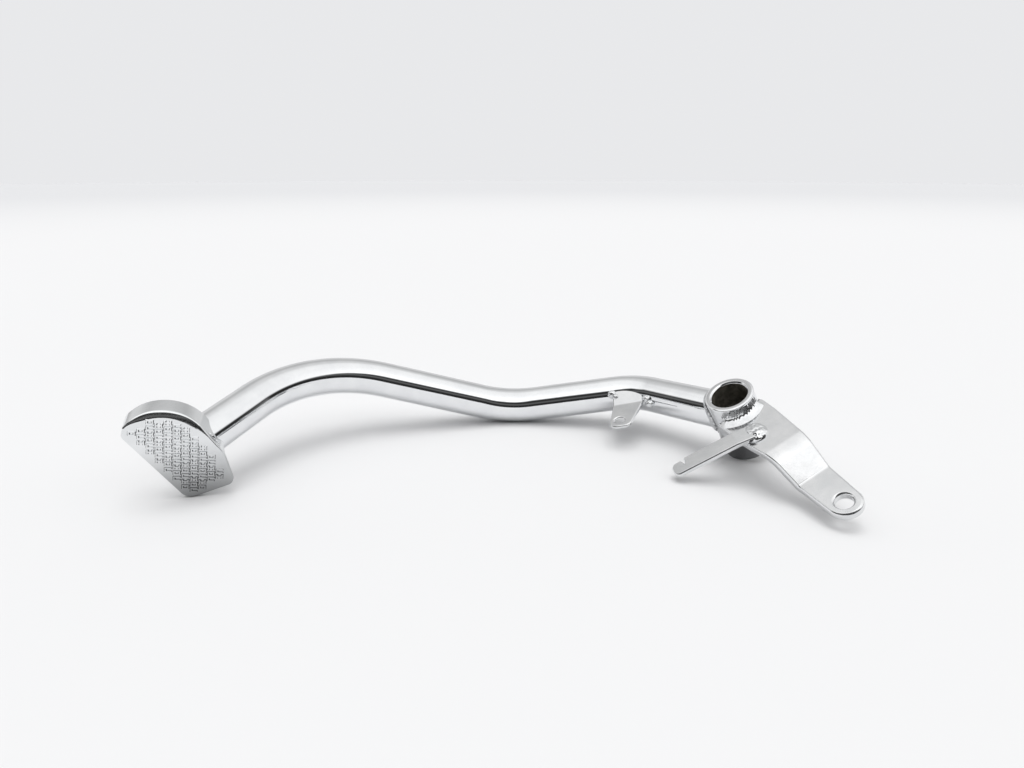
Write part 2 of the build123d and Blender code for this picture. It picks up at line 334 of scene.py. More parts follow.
def along_axis(tree, axis):
    """Distance along an axis through the pedal's origin."""
    place = node(tree, "ShaderNodeTexCoord").outputs["Object"]
    return node(tree, "ShaderNodeVectorMath", {0: place, 1: axis}, operation="DOT_PRODUCT").outputs["Value"]


def add_shade(material, axis, dark_end, clear_end, least):
    """Paints shade into the plating's colour: darker towards one end of an axis, and on the sideways walls
    of the grip marks.
    """
    tree = material.node_tree
    shader = tree.nodes["Principled BSDF"]
    plating = shader.inputs["Base Color"].links[0].from_socket
    # Painted shade, darker towards the dark end of the axis.
    foot = node(
        tree,
        "ShaderNodeMapRange",
        {
            "Value": along_axis(tree, axis),
            "From Min": dark_end,
            "From Max": clear_end,
            "To Min": least,
            "To Max": 1.0,
        },
        interpolation_type="SMOOTHSTEP",
    )
    # Painted shade on the grip marks' sideways walls, from a value kept on their corners.
    wall_shade = node(tree, "ShaderNodeAttribute", attribute_name="wall_shade", attribute_type="GEOMETRY")
    wall_lightness = node(tree, "ShaderNodeMapRange", {"Value": wall_shade.outputs["Fac"], "To Min": 1.0, "To Max": 0.12})
    both = node(
        tree, "ShaderNodeMath", {0: foot.outputs["Result"], 1: wall_lightness.outputs["Result"]}, operation="MULTIPLY"
    )
    shaded = node(tree, "ShaderNodeVectorMath", {0: plating, "Scale": both.outputs[0]}, operation="SCALE")
    tree.links.new(shaded.outputs["Vector"], shader.inputs["Base Color"])


def bore_steel():
    """The dark unplated wall inside the pivot tube."""
    material, tree, place = blank_material("bore_steel")
    stain = node(tree, "ShaderNodeTexNoise", {"Vector": place, "Scale": 300.0, "Detail": 5.0})
    colour = ramp(tree, stain.outputs["Fac"], ((0.35, (0.08, 0.075, 0.062)), (0.7, (0.24, 0.225, 0.19))))
    bump = node(tree, "ShaderNodeBump", {"Height": stain.outputs["Fac"], "Distance": 0.05 * mm})
    shader = node(
        tree,
        "ShaderNodeBsdfPrincipled",
        {"Base Color": colour, "Metallic": 0.7, "Roughness": 0.55, "Normal": bump.outputs["Normal"]},
    )
    node(tree, "ShaderNodeOutputMaterial", {"Surface": shader.outputs["BSDF"]})
    return material


def table_paper():
    """The matt near-white table, with painted falloff of light that makes it a little darker far away."""
    material, tree, place = blank_material("table_paper")
    reach = node(tree, "ShaderNodeVectorMath", {0: place}, operation="LENGTH")
    far = node(
        tree,
        "ShaderNodeMapRange",
        {"Value": reach.outputs["Value"], "From Min": table_fade_start, "From Max": table_fade_end},
        interpolation_type="SMOOTHSTEP",
    )
    colour = ramp(tree, far.outputs["Result"], ((0.0, (0.8, 0.802, 0.809)), (1.0, (0.704, 0.709, 0.723))))
    shader = node(
        tree, "ShaderNodeBsdfPrincipled", {"Base Color": colour, "Roughness": 0.9, "Specular IOR Level": 0.0}
    )
    node(tree, "ShaderNodeOutputMaterial", {"Surface": shader.outputs["BSDF"]})
    return material


tube_plating = ((0.79, 0.8, 0.815), (0.85, 0.86, 0.87), 0.03, 0.08, 900.0, 0.001 * mm, 0.05 * mm)
tube_chrome = plated_steel("tube_chrome", *tube_plating)
plate_chrome = plated_steel(
    "plate_chrome", (0.72, 0.73, 0.74), (0.81, 0.815, 0.82), 0.13, 0.2, 1200.0, 0.008 * mm, 0.03 * mm
)
pad_chrome = plated_steel(
    "pad_chrome", (0.77, 0.785, 0.795), (0.84, 0.85, 0.86), 0.1, 0.16, 1200.0, 0.003 * mm, 0.03 * mm
)
# Painted shade: the pad is darker towards its foot.
add_shade(pad_chrome, Vector((0, 0, 1)), *pad_shade)
pivot_chrome = plated_steel("pivot_chrome", *tube_plating)
# Painted shade: the pivot tube is darker towards its lower end.
add_shade(pivot_chrome, pivot_axis, *pivot_shade)
rim_chrome = plated_steel(
    "rim_chrome", (0.6, 0.605, 0.61), (0.68, 0.685, 0.69), 0.16, 0.26, 1200.0, 0.004 * mm, 0.03 * mm
)
weld_chrome = plated_steel(
    "weld_chrome", (0.66, 0.67, 0.68), (0.85, 0.86, 0.87), 0.06, 0.16, 900.0, 0.012 * mm, 0.06 * mm
)
weld_pits = plated_steel(
    "weld_pits", (0.05, 0.052, 0.055), (0.55, 0.555, 0.56), 0.2, 0.4, 900.0, 0.02 * mm, 0.06 * mm
)
bore_dark = bore_steel()


def add_piece(name, mesh, slot_name, replaced, *materials):
    """Places a finished mesh as a piece that stands for a CAD node."""
    for material in materials:
        mesh.materials.append(material)
    piece = bpy.data.objects.new(name, mesh)
    bpy.context.scene.collection.objects.link(piece)
    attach(piece, "root")
    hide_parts(replaced)
    return piece


def weigh_normals(piece):
    """Keeps a plate's faces flat in shading where its eased edges meet them."""
    weigh = piece.modifiers.new("weighted normals", "WEIGHTED_NORMAL")
    weigh.keep_sharp = True
    return piece


def mesh_from(bm, name, sharp_angle=None):
    """A smooth mesh from a bmesh, with edges past an angle kept sharp."""
    bmesh.ops.recalc_face_normals(bm, faces=bm.faces)
    for face in bm.faces:
        face.smooth = True
    if sharp_angle is not None:
        for edge in bm.edges:
            edge.smooth = not edge.is_manifold or edge.calc_face_angle() < radians(sharp_angle)
    mesh = bpy.data.meshes.new(name)
    bm.to_mesh(mesh)
    bm.free()
    return mesh


def ring_mesh(rings, closed_along):
    """A closed skin over rings of points, each ring a closed loop."""
    bm = bmesh.new()
    grid = [[bm.verts.new(point) for point in ring] for ring in rings]
    around = len(rings[0])
    last = len(grid) if closed_along else len(grid) - 1
    for i in range(last):
        here = grid[i]
        there = grid[(i + 1) % len(grid)]
        for j in range(around):
            k = (j + 1) % around
            bm.faces.new((here[j], here[k], there[k], there[j]))
    if not closed_along:
        bm.faces.new(grid[0])
        bm.faces.new(grid[-1])
    return bm


# Geometry node trees


def open_tree(name, inputs):
    """A geometry node tree with a geometry input and named inputs."""
    tree = bpy.data.node_groups.new(name, "GeometryNodeTree")
    tree.interface.new_socket("Geometry", in_out="INPUT", socket_type="NodeSocketGeometry")
    for label, kind in inputs:
        tree.interface.new_socket(label, in_out="INPUT", socket_type=kind)
    tree.interface.new_socket("Geometry", in_out="OUTPUT", socket_type="NodeSocketGeometry")
    entry = tree.nodes.new("NodeGroupInput")
    return tree, entry.outputs


def close_tree(tree, geometry, finish):
    """Ends a tree with real geometry and its material."""
    real = node(tree, "GeometryNodeRealizeInstances", {"Geometry": geometry})
    coated = node(
        tree, "GeometryNodeSetMaterial", {"Geometry": real.outputs["Geometry"], "Material": finish}
    )
    leave = tree.nodes.new("NodeGroupOutput")
    tree.links.new(coated.outputs["Geometry"], leave.inputs["Geometry"])


def grown_mesh(seed_mesh, tree, values, name):
    """The plain mesh that a tree makes from a seed mesh."""
    grower = bpy.data.objects.new(name + "_seed", seed_mesh)
    bpy.context.scene.collection.objects.link(grower)
    modifier = grower.modifiers.new("tree", "NODES")
    modifier.node_group = tree
    for item in tree.interface.items_tree:
        if item.in_out == "INPUT" and item.name in values:
            modifier[item.identifier] = values[item.name]
    graph = bpy.context.evaluated_depsgraph_get()
    mesh = bpy.data.meshes.new_from_object(grower.evaluated_get(graph), depsgraph=graph)
    mesh.name = name
    bpy.data.objects.remove(grower)
    return mesh


def bent_tube_tree():
    """A round tube along a broken line whose corners are rounded by their own radii."""
    tree, entry = open_tree(
        "bent tube",
        (
            ("Tube radius", "NodeSocketFloat"),
            ("Bend steps", "NodeSocketInt"),
            ("Round steps", "NodeSocketInt"),
            ("Finish", "NodeSocketMaterial"),
        ),
    )
    line = node(tree, "GeometryNodeMeshToCurve", {"Mesh": entry["Geometry"]})
    radius = node(tree, "GeometryNodeInputNamedAttribute", {"Name": "bend_radius"}, data_type="FLOAT")
    rounded = node(
        tree,
        "GeometryNodeFilletCurve",
        {"Curve": line.outputs["Curve"], "Radius": radius.outputs["Attribute"]},
        mode="POLY",
    )
    tree.links.new(entry["Bend steps"], rounded.inputs["Count"])
    ring = node(
        tree,
        "GeometryNodeCurvePrimitiveCircle",
        {"Resolution": entry["Round steps"], "Radius": entry["Tube radius"]},
    )
    skin = node(
        tree,
        "GeometryNodeCurveToMesh",
        {
            "Curve": rounded.outputs["Curve"],
            "Profile Curve": ring.outputs["Curve"],
            "Fill Caps": True,
        },
    )
    close_tree(tree, skin.outputs["Mesh"], entry["Finish"])
    return tree


def distance_to_pivot(point, along, radius):
    """How far a point goes along a direction to leave a cylinder round the pivot's axis."""
    flat_point = point - pivot_axis * point.dot(pivot_axis)
    flat_along = along - pivot_axis * along.dot(pivot_axis)
    a = flat_along.length_squared
    b = flat_point.dot(flat_along)
    c = flat_point.length_squared - radius * radius
    return (-b + sqrt(b * b - a * c)) / a


def arm_tube():
    """The bent arm, its ends fitted to the pivot tube and the pad's back."""
    seed = bpy.data.meshes.new("arm_line")
    points = (arm_start, side_bend, low_bend, high_bend, arm_end)
    seed.from_pydata(points, [(i, i + 1) for i in range(len(points) - 1)], [])
    radii = seed.attributes.new("bend_radius", "FLOAT", "POINT")
    for i, radius in enumerate(bend_radii):
        radii.data[i + 1].value = radius
    values = {
        "Tube radius": tube_radius,
        "Bend steps": bend_steps,
        "Round steps": tube_steps,
        "Finish": tube_chrome,
    }
    mesh = grown_mesh(seed, bent_tube_tree(), values, "arm_tube_skin")
    for vertex in mesh.vertices:
        place = vertex.co
        if abs((place - arm_start).dot(arm_first)) < arm_end_reach:
            vertex.co = place + arm_first * distance_to_pivot(place, arm_first, pivot_radius - weld_sink)
        elif abs((place - arm_end).dot(arm_last)) < arm_end_reach:
            gap = (place - pad_back_place).dot(pad_facing) - arm_end_sink
            vertex.co = place - arm_last * (gap / arm_last.dot(pad_facing))
    bm = bmesh.new()
    bm.from_mesh(mesh)
    return add_piece("arm_skin", mesh_from(bm, "arm_skin", 50), "tube_chrome", "arm_tube", tube_chrome)


def pivot_tube():
    """The pivot tube turned from its section, with eased rims and a dark bore."""
    half = pivot_length / 2
    ease = pivot_rim_ease
    corners = []
    for side in (1, -1):
        rim = [
            (pivot_radius, half - pivot_rim_chamfer * pivot_rim_slope),
            (pivot_radius - pivot_rim_chamfer, half),
            (pivot_bore_radius + pivot_rim_chamfer, half),
            (pivot_bore_radius, half - pivot_rim_chamfer),
        ]
        corners += [(r, side * z) for r, z in (rim if side > 0 else rim[::-1])]
    section = []
    for i, corner in enumerate(corners):
        here = Vector(corner)
        before = (Vector(corners[i - 1]) - here).normalized()
        after = (Vector(corners[(i + 1) % len(corners)]) - here).normalized()
        section += [here + before * 2 * ease, here + before * ease]
        section.append(here + (before + after) * ease * 0.3)
        section += [here + after * ease, here + after * 2 * ease]
    steps = 160
    rings = []
    for i in range(steps):
        turn = tau * i / steps
        rings.append([pivot_frame @ Vector((r * cos(turn), r * sin(turn), z)) for r, z in section])
    bm = ring_mesh(rings, True)
    for face in bm.faces:
        local = pivot_frame.inverted() @ face.calc_center_median()
        if Vector(local.xy).length < pivot_bore_radius + pivot_face_reach:
            face.material_index = 1
        elif abs(local.z) > half - pivot_face_reach:
            face.material_index = 2
    mesh = mesh_from(bm, "pivot_skin")
    return add_piece("pivot_skin", mesh, "tube_chrome", "pivot_tube", pivot_chrome, bore_dark, rim_chrome)


def eased_plate(name, node_name, slot_name, material, edge_radius):
    """A plate's solid with its triangles merged and its edges eased."""
    bm = bmesh.new()
    bm.from_mesh(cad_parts[node_name].data)
    bmesh.ops.remove_doubles(bm, verts=bm.verts, dist=merge_distance)
    bmesh.ops.dissolve_limit(bm, angle_limit=radians(0.3), verts=bm.verts, edges=bm.edges)
    turn = radians(plate_sharp_angle)
    sharp = [edge for edge in bm.edges if edge.is_manifold and edge.calc_face_angle() > turn]
    bmesh.ops.bevel(
        bm,
        geom=sharp,
        offset=edge_radius,
        segments=plate_edge_steps,
        profile=plate_edge_profile,
        affect="EDGES",
        clamp_overlap=False,
    )
    mesh = mesh_from(bm, name, 30)
    piece = add_piece(name, mesh, slot_name, node_name, material)
    return weigh_normals(piece)


def arc_points(middle, start, end, steps):
    """Points along the shorter arc about a middle from start to end."""
    radius = (start - middle).length
    first = atan2(start.y - middle.y, start.x - middle.x)
    last = atan2(end.y - middle.y, end.x - middle.x)
    sweep = (last - first + pi) % tau - pi
    turns = [first + sweep * i / steps for i in range(steps + 1)]
    return [middle + Vector((cos(turn), sin(turn))) * radius for turn in turns]


def corner_points(before, corner, after, radius):
    """The arc that rounds the corner between two straight lines."""
    back = (before - corner).normalized()
    ahead = (after - corner).normalized()
    half = back.angle(ahead) / 2
    middle = corner + (back + ahead).normalized() * (radius / sin(half))
    setback = radius / tan(half)
    return arc_points(middle, corner + back * setback, corner + ahead * setback, 24)


def crown_circle():
    """Middle and radius of the circle through the crown's three points."""
    a, b, c = pad_crown
    d = 2 * (a.x * (b.y - c.y) + b.x * (c.y - a.y) + c.x * (a.y - b.y))
    aa, bb, cc = a.length_squared, b.length_squared, c.length_squared
    middle = Vector(
        (
            (aa * (b.y - c.y) + bb * (c.y - a.y) + cc * (a.y - b.y)) / d,
            (aa * (c.x - b.x) + bb * (a.x - c.x) + cc * (b.x - a.x)) / d,
        )
    )
    return middle, (a - middle).length


def crown_corner(corner, other, radius, inward):
    """Start and end of the arc that rounds the corner between the crown and a straight line."""
    middle, crown_radius = crown_circle()
    along = (other - corner).normalized()
    base = corner + inward * radius - middle
    b = base.dot(along)
    c = base.length_squared - (crown_radius - radius) ** 2
    step = -b - sqrt(b * b - c)
    centre = corner + inward * radius + along * step
    on_crown = middle + (centre - middle).normalized() * crown_radius
    return centre, on_crown, centre - inward * radius


def pad_edge(count):
    """Evenly spaced points round the pad's outline with their inward directions."""
    places = [corner for corner, radius in pad_corners]
    right_along = (places[0] - pad_crown[2]).normalized()
    left_along = (places[3] - pad_crown[0]).normalized()
    right_in = Vector((right_along.y, -right_along.x))
    left_in = Vector((-left_along.y, left_along.x))
    right = crown_corner(pad_crown[2], places[0], pad_crown_radii[1], right_in)
    left = crown_corner(pad_crown[0], places[3], pad_crown_radii[0], left_in)
    line = arc_points(left[0], left[2], left[1], 12)
    line += arc_points(crown_circle()[0], left[1], right[1], 90)
    line += arc_points(right[0], right[1], right[2], 40)
    stops = [pad_crown[2], *places, pad_crown[0]]
    for i, (corner, radius) in enumerate(pad_corners):
        line += corner_points(stops[i], corner, stops[i + 2], radius)
    line.append(line[0])
    reach = [0.0]
    for a, b in zip(line, line[1:]):
        reach.append(reach[-1] + (b - a).length)
    points = []
    k = 0
    for i in range(count):
        goal = reach[-1] * i / count
        while reach[k + 1] <= goal:
            k += 1
        points.append(line[k].lerp(line[k + 1], (goal - reach[k]) / (reach[k + 1] - reach[k])))
    edge = []
    for i, point in enumerate(points):
        run = (points[(i + 1) % count] - points[i - 1]).normalized()
        edge.append((point, Vector((run.y, -run.x))))
    return edge


def flange_run(point):
    """How far a point of the pad's plane lies above the line where the flange dies away."""
    fall = radians(flange_fall)
    return point.x * sin(fall) + (point.y - flange_middle) * cos(fall)


def roll_section(point):
    """Inset and depth along the pressed edge: tight, then wide over the crown, then tight again."""
    part = clamped((flange_run(point) - crown_roll_from) / crown_roll_blend)
    wide = pad_roll + (pad_crown_roll - pad_roll) * part * part * (3 - 2 * part)
    turns = (0.0, *pad_roll_turns, 90.0 - pad_draft)
    line = [(0.0, 0.0)]
    steps = 8
    for radius, first, last in zip((pad_roll, wide, pad_roll), turns, turns[1:]):
        reach, depth = line[-1]
        start = radians(first)
        for k in range(1, steps + 1):
            turn = radians(first + (last - first) * k / steps)
            further = radius * (sin(turn) - sin(start))
            deeper = radius * (cos(start) - cos(turn))
            line.append((reach + further, depth + deeper))
    edge_inset = line[-1][0] - tan(radians(pad_draft)) * line[-1][1]
    return [(edge_inset - reach, depth) for reach, depth in line]


def roll_drop(inset, section):
    """How far the face has curved back at a distance inside the outline."""
    for (far, shallow), (near, deep) in zip(section, section[1:]):
        if near <= inset < far:
            return shallow + (deep - shallow) * (far - inset) / (far - near)
    return 0.0


def grip_marks(edge, sections):
    """The grip pattern's marks with sloping skirts, laid on the pad's curved face."""
    to_pad = pad_frame.inverted()
    bm = bmesh.new()
    bm.from_mesh(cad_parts["foot_pad"].data)
    # A value on each corner for the painted shade on the marks' walls.
    wall_shade = bm.loops.layers.float.new("wall_shade")
    bmesh.ops.transform(bm, matrix=to_pad, verts=bm.verts)
    bmesh.ops.remove_doubles(bm, verts=bm.verts, dist=merge_distance)
    lower = [face for face in bm.faces if min(v.co.z for v in face.verts) < grip_relief * 0.95]
    bmesh.ops.delete(bm, geom=lower, context="FACES")
    made = bmesh.ops.extrude_face_region(bm, geom=bm.faces[:])
    tops = {item for item in made["geom"] if isinstance(item, bmesh.types.BMVert)}
    # Extruding makes the side walls in a different order on each run, so the faces are put in order.
    for number, face in enumerate(sorted(bm.faces, key=lambda face: face.calc_center_median()[:])):
        face.index = number
    bm.faces.sort()
    walls = [face for face in bm.faces if any(vertex not in tops for vertex in face.verts)]
    shift = {vertex: Vector() for vertex in bm.verts}
    for vertex in bm.verts:
        vertex.co.z = grip_relief if vertex in tops else grip_foot
    bm.normal_update()
    for face in walls:
        outward = face.normal.copy()
        for loop in face.loops:
            # Painted shade: walls that face sideways get the darkening value, the others none.
            loop[wall_shade] = side_wall_shade if abs(outward.x) > abs(outward.y) else 0.0
        for vertex in face.verts:
            shift[vertex] += outward * (1 - shift[vertex].dot(outward))
    for vertex in bm.verts:
        vertex.co += shift[vertex] * (grip_taper if vertex in tops else grip_skirt)
        flat = vertex.co.xy
        near = min(range(len(edge)), key=lambda i: (edge[i][0] - flat).length_squared)
        point, inward = edge[near]
        vertex.co.z -= roll_drop((flat - point).dot(inward), sections[near])
    return bm


def foot_pad():
    """The pressed plate with its turned-back flange and grip marks."""
    edge = pad_edge(pad_edge_points)
    slope = tan(radians(pad_draft))
    rise = tan(radians(pad_flange_slope))
    sections = [roll_section(point) for point, inward in edge]
    bm = grip_marks(edge, sections)
    front = []
    back = []
    columns = []
    for (point, inward), roll in zip(edge, sections):
        depth = min(pad_flange_depth, pad_thickness + max(0.0, flange_run(point)) * rise)
        inner = flange_run(point + inward * pad_thickness)
        inner_depth = min(pad_flange_depth, pad_thickness + max(0.0, inner) * rise)
        section = roll[:]
        section.append((-slope * (depth - pad_rim), depth - pad_rim))
        section.append((-slope * depth + pad_rim_cut[0], depth - pad_rim_cut[1]))
        section.append((-slope * depth + pad_rim, depth))
        section.append((pad_thickness - slope * inner_depth, inner_depth))
        section.append((pad_thickness, pad_thickness))
        column = [bm.verts.new((*(point + inward * inset), -deep)) for inset, deep in section]
        columns.append(column)
        front.append(column[0])
        back.append(column[-1])
    for here, there in zip(columns, columns[1:] + columns[:1]):
        for k in range(len(here) - 1):
            bm.faces.new((here[k], there[k], there[k + 1], here[k + 1]))
    bm.faces.new(front)
    bm.faces.new(back)
    bmesh.ops.transform(bm, matrix=pad_frame, verts=bm.verts)
    mesh = mesh_from(bm, "pad_plate", 35)
    piece = add_piece("pad_plate", mesh, "plate_chrome", "foot_pad", pad_chrome)
    return weigh_normals(piece)


def ripple(along, across, seed):
    """Height of a weld's overlapping ripples, 0 to 1, with a little unevenness."""
    uneven = noise.noise(Vector((along * 0.6, across * 2.0, seed)))
    wave = along + 0.35 * across * across + 0.35 * uneven
    scallop = wave - int(wave // 1)
    return sqrt(max(0.0, 1 - (2 * scallop - 1) ** 2)) * 0.8 + 0.2 * uneven


def bead_section(toe_a, toe_b, corner, outward, lump):
    """A weld's section as a closed loop: a bulging face between two toes, and a sunk corner."""
    middle = (toe_a + toe_b) / 2 + outward * weld_bulge * 2
    steps = 20
    loop = []
    for k in range(steps + 1):
        t = k / steps
        point = toe_a * (1 - t) ** 2 + middle * 2 * t * (1 - t) + toe_b * t * t
        loop.append(point + outward * lump(t) * sin(pi * t) ** 0.5)
    loop.append(corner - outward * weld_sink)
    return loop


def ragged(place, pitch):
    """An uneven height that gives a pitted patch of weld its torn edge."""
    return noise.noise(place / mm * pitch) + 0.5 * noise.noise(place / mm * 1.7)


def arm_bead(name, node_name, centre, along, meet, wall_normal, seed):
    """A bead right round the arm where it meets a wall. At the pivot tube its seam is dull and pitted."""
    steps = 240
    side = along.orthogonal().normalized()
    other = along.cross(side)
    rings = []
    pitch_turn = ripple_pitch / tube_radius
    for i in range(steps):
        turn = tau * i / steps
        away = side * cos(turn) + other * sin(turn)
        corner = meet(centre + away * tube_radius)
        normal = wall_normal(corner)
        spread = (away - normal * away.dot(normal)).normalized()
        toe_arm = corner + along * weld_leg - away * weld_toe_sink
        toe_wall = corner + spread * weld_leg - normal * weld_toe_sink
        if wall_normal is pivot_normal:
            on_axis = pivot_axis * toe_wall.dot(pivot_axis)
            toe_wall = pivot_normal(toe_wall) * pivot_radius * pivot_toe_part + on_axis
        outward = (away + normal).normalized()

        def lump(t, turn=turn):
            broken = max(0.0, 0.6 + noise.noise(Vector((turn * 5, seed, 0))))
            seam = arm_seam_depth * hump(t, 0.8, 0.1) * broken
            return ripple_height * (ripple(turn / pitch_turn, 2 * t - 1, seed) - 0.5 - seam)

        rings.append(bead_section(toe_arm, toe_wall, corner, outward, lump))
    mesh = mesh_from(ring_mesh(rings, True), name)
    if wall_normal is not pivot_normal:
        return add_piece(name, mesh, "weld_chrome", node_name, weld_chrome)
    for face in mesh.polygons:
        place = face.center
        off_wall = (place - pivot_axis * place.dot(pivot_axis)).length - pivot_radius
        if off_wall < arm_weld_pitted + ragged(place, 0.5) * arm_weld_ragged:
            face.material_index = 1
    return add_piece(name, mesh, "weld_chrome", node_name, weld_chrome, weld_pits)


def pivot_normal(point):
    """Outward direction of the pivot tube's wall at a point."""
    return (point - pivot_axis * point.dot(pivot_axis)).normalized()


def pad_back_normal(point):
    """Outward direction of the pad's back."""
    return -pad_facing


def meet_pivot(point):
    """Where a line along the arm meets the pivot tube."""
    return point + arm_first * distance_to_pivot(point, arm_first, pivot_radius)


def meet_pad(point):
    """Where a line along the arm meets the pad's back."""
    return point - arm_last * ((point - pad_back_place).dot(pad_facing) / arm_last.dot(pad_facing))


def leaning_profile(toe_tilt, wall_tilt, steps):
    """Reach and rise from the toe up a slope that turns steeper, as parts of the full rise."""
    run = [Vector((0, 0))]
    for k in range(steps):
        ease = clamped((k / steps - 0.4) / 0.2)
        tilt = radians(toe_tilt + (wall_tilt - toe_tilt) * ease)
        run.append(run[-1] + Vector((cos(tilt), sin(tilt))))
    end = run[-1]
    return [((end.x - place.x) / end.y, place.y / end.y) for place in run]


def lever_bead():
    """The bead round the pivot tube's front: a smooth bright slope, and a dull pitted part up to the rim."""
    steps = 420
    across = 36
    up = Vector((0, 0, 1))
    first_tilt, wall_tilt = lever_weld_tilts
    rings = []
    for i in range(steps + 1):
        part = i / steps
        turn = radians(lever_weld_from + lever_weld_sweep * part)
        fade = min(1.0, sqrt(min(part, 1 - part) * 9) + 0.03)
        out = Vector((cos(turn), sin(turn), 0))
        corner = out * pivot_radius + up * lever_top
        outward = (out * 0.8 + up * 0.6).normalized()
        length = turn * pivot_radius / ripple_pitch
        phase = length + 0.5 * noise.noise(Vector((length * 0.6, 3.1, 0)))
        drop = (0.5 + 0.5 * cos(tau * phase)) ** 0.8
        size = 0.7 + 0.8 * noise.noise(Vector((length * 0.9, 9.4, 0)))
        pit = max(0.0, 0.3 + 1.3 * noise.noise(Vector((length * 2.3, 0.6, 5))))
        toe_tilt = first_tilt - lever_weld_lean * max(0.0, 1 - part / 0.8) ** 0.7
        loop = []
        for k, (reach, rise) in enumerate(leaning_profile(toe_tilt, wall_tilt, across)):
            t = k / across
            drops = lever_drop_height * size * drop * hump(t, 0.5, 0.14)
            pits = lever_pit_depth * pit * hump(t, 0.84, 0.1)
            slow = noise.noise(Vector((cos(turn) * 4, sin(turn) * 4, t * 3)))
            lump = drops - pits + lever_wave_height * slow * sin(pi * t)
            place = corner + (out * reach + up * rise) * lever_weld_rise * fade
            loop.append(pivot_frame @ (place + outward * lump * fade))
        loop.append(pivot_frame @ (corner - outward * weld_sink))
        rings.append(loop)
    mesh = mesh_from(ring_mesh(rings, False), "lever_bead", 60)
    to_pivot = pivot_frame.inverted()
    for face in mesh.polygons:
        place = to_pivot @ face.center
        if place.z > lever_top + lever_weld_pitted + ragged(place, 0.45) * lever_weld_ragged:
            face.material_index = 1
    return add_piece("lever_bead", mesh, "weld_chrome", "lever_to_pivot_weld", weld_chrome, weld_pits)


def strip_bead():
    """The lump of weld over the switch strip's root: a curled ridge round a smooth pool."""
    around = 200
    levels = 60
    rings = []
    for j in range(1, levels + 1):
        reach = j / levels
        ring = []
        for i in range(around):
            turn = tau * i / around
            flat = Vector((cos(turn) * reach, sin(turn) * reach, 0))
            rough = noise.noise(flat * 2.4 + Vector((0, 0, 7.3)))
            fine = noise.noise(flat * 5.5 + Vector((0, 0, 2.1)))
            dome = (1 - reach**2.6) ** 0.5 if reach < 1 else 0.0
            curl = strip_curl_height * hump((flat - strip_pool).length, 0.6, 0.17)
            side = strip_lump_height * (0.5 + 0.5 * flat.dot(strip_pit) / strip_pit.length)
            pit = strip_pit_depth * hump((flat - strip_pit).length, 0.0, 0.09)
            lip = 1 + 0.06 * rough
            height = strip_weld_rise * dome * (0.82 + 0.08 * rough) - strip_weld_sink
            height += dome * (curl * (0.8 + 0.5 * rough) + side * fine - pit)
            x = strip_weld_place[0] + strip_weld_base * reach * lip * cos(turn)
            y = strip_weld_place[1] + strip_weld_base * reach * lip * sin(turn)
            ring.append(pivot_frame @ Vector((x, y, lever_top + height)))
        rings.append(ring)
    mesh = mesh_from(ring_mesh(rings, False), "strip_bead", 70)
    return add_piece("strip_bead", mesh, "weld_chrome", "strip_weld", weld_chrome)


def tack_bead(name, node_name, lumps, seed):
    """A small weld of two run-together lumps."""
    bm = bmesh.new()
    for centre, radius in lumps:
        made = bmesh.ops.create_icosphere(bm, subdivisions=5, radius=radius)
        for vertex in made["verts"]:
            away = vertex.co.normalized()
            rough = noise.noise(away * 1.6 + Vector((seed, radius / mm, 0)))
            fine = noise.noise(away * 5 + Vector((0, seed, radius / mm)))
            vertex.co = centre + away * radius * (0.93 + 0.1 * rough + 0.05 * fine)
    return add_piece(name, mesh_from(bm, name), "weld_chrome", node_name, weld_chrome)


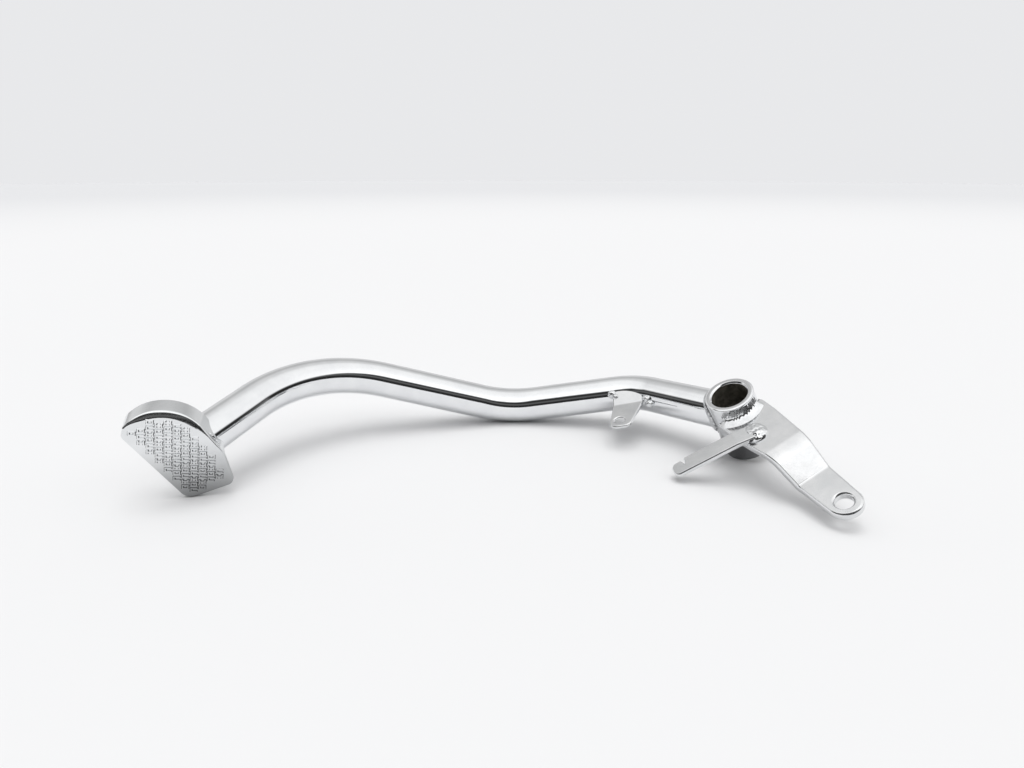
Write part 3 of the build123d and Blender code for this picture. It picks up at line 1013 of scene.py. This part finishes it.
def studio_light():
    """A light tent: bright above, grey behind, and a dark room where the camera stands."""
    world = bpy.data.worlds.new("studio")
    bpy.context.scene.world = world
    world.use_nodes = True
    tree = world.node_tree
    tree.nodes.clear()
    look = node(tree, "ShaderNodeTexCoord").outputs["Generated"]
    parts = node(tree, "ShaderNodeSeparateXYZ", {"Vector": look})
    level = node(tree, "ShaderNodeCombineXYZ", {"X": parts.outputs["X"], "Y": parts.outputs["Y"]})
    flat = node(tree, "ShaderNodeVectorMath", {0: level.outputs["Vector"]}, operation="NORMALIZE")
    sides = node(tree, "ShaderNodeSeparateXYZ", {"Vector": flat.outputs["Vector"]})
    backward = node(
        tree, "ShaderNodeMapRange", {"Value": parts.outputs["Y"], "From Min": -1.0, "From Max": 1.0}
    )
    tent = ramp(tree, backward.outputs["Result"], tent_front_to_back)
    across = node(
        tree, "ShaderNodeMapRange", {"Value": sides.outputs["X"], "From Min": -1.0, "From Max": 1.0}
    )
    room_top = ramp(tree, across.outputs["Result"], room_height_by_side)
    above = node(tree, "ShaderNodeMath", {0: parts.outputs["Z"], 1: room_top}, operation="SUBTRACT")
    lit = node(
        tree,
        "ShaderNodeMapRange",
        {"Value": above.outputs["Value"], "From Min": -0.05, "From Max": 0.08},
        interpolation_type="SMOOTHSTEP",
    )
    ahead = node(
        tree,
        "ShaderNodeMapRange",
        {"Value": parts.outputs["Y"], "From Min": 0.08, "From Max": 0.34},
        interpolation_type="SMOOTHSTEP",
    )
    open_part = node(
        tree, "ShaderNodeMath", {0: lit.outputs["Result"], 1: ahead.outputs["Result"]}, operation="MAXIMUM"
    )
    low = ramp(tree, parts.outputs["Z"], tent_back_by_height)
    dimmed = node(
        tree,
        "ShaderNodeMix",
        {0: ahead.outputs["Result"], 6: (1.0, 1.0, 1.0, 1.0), 7: low},
        data_type="RGBA",
    )
    sky = node(
        tree,
        "ShaderNodeMix",
        {0: 1.0, 6: tent, 7: dimmed.outputs[2]},
        data_type="RGBA",
        blend_type="MULTIPLY",
    )
    room = ramp(tree, parts.outputs["Z"], room_by_height)
    mixed = node(tree, "ShaderNodeMix", data_type="RGBA")
    tree.links.new(open_part.outputs["Value"], mixed.inputs["Factor"])
    tree.links.new(room, mixed.inputs[6])
    tree.links.new(sky.outputs[2], mixed.inputs[7])
    glow = node(tree, "ShaderNodeBackground", {"Color": mixed.outputs[2], "Strength": tent_strength})
    plain = node(tree, "ShaderNodeBackground", {"Color": backdrop_colour, "Strength": 1.0})
    seen = node(tree, "ShaderNodeLightPath").outputs["Is Camera Ray"]
    both = node(tree, "ShaderNodeMixShader", {0: seen, 1: glow.outputs[0], 2: plain.outputs[0]})
    node(tree, "ShaderNodeOutputWorld", {"Surface": both.outputs[0]})


def overhead_lamp():
    """A wide lamp above, for the shadows on the table. The plating doesn't mirror it."""
    lamp = bpy.data.lights.new("overhead", "SUN")
    lamp.angle = radians(lamp_width)
    lamp.energy = lamp_power
    hung = bpy.data.objects.new("overhead", lamp)
    hung.rotation_euler = (radians(-lamp_tilt), 0, 0)
    hung.visible_glossy = False
    bpy.context.scene.collection.objects.link(hung)


def table():
    """The pale table under the pedal."""
    bm = bmesh.new()
    bmesh.ops.create_circle(bm, cap_ends=True, radius=table_radius, segments=96)
    low = cad_box[0][2]
    bmesh.ops.translate(bm, verts=bm.verts, vec=(camera_place.x, camera_place.y, low))
    mesh = bpy.data.meshes.new("table")
    bm.to_mesh(mesh)
    bm.free()
    mesh.materials.append(table_paper())
    top = bpy.data.objects.new("table", mesh)
    bpy.context.scene.collection.objects.link(top)


def camera():
    """The camera at the photograph's place."""
    eye = bpy.data.cameras.new("camera")
    eye.sensor_width = sensor_width
    eye.lens = focal_pixels * sensor_width / image_width
    eye.clip_start = 0.01
    eye.clip_end = 20.0
    stand = bpy.data.objects.new("camera", eye)
    stand.location = camera_place
    stand.rotation_euler = (radians(90 - camera_dip), 0, 0)
    bpy.context.scene.collection.objects.link(stand)
    bpy.context.scene.camera = stand


camera()
studio_light()
overhead_lamp()
table()
arm_tube()
pivot_tube()
eased_plate("lever_plate", "brake_lever", "plate_chrome", plate_chrome, plate_edge_radius)
eased_plate("strip_plate", "switch_strip", "plate_chrome", plate_chrome, tab_edge_radius)
eased_plate("tab_plate", "spring_tab", "plate_chrome", plate_chrome, tab_edge_radius)
foot_pad()
arm_bead("pivot_bead", "arm_to_pivot_weld", arm_start, arm_first, meet_pivot, pivot_normal, 1.0)
arm_bead("pad_bead", "arm_to_pad_weld", arm_end, arm_last, meet_pad, pad_back_normal, 5.0)
lever_bead()
strip_bead()
tack_bead("right_tack", "tab_right_weld", tab_right_lumps, 2.0)
tack_bead("left_tack", "tab_left_weld", tab_left_lumps, 8.0)

bpy.context.scene.view_settings.view_transform = "Standard"
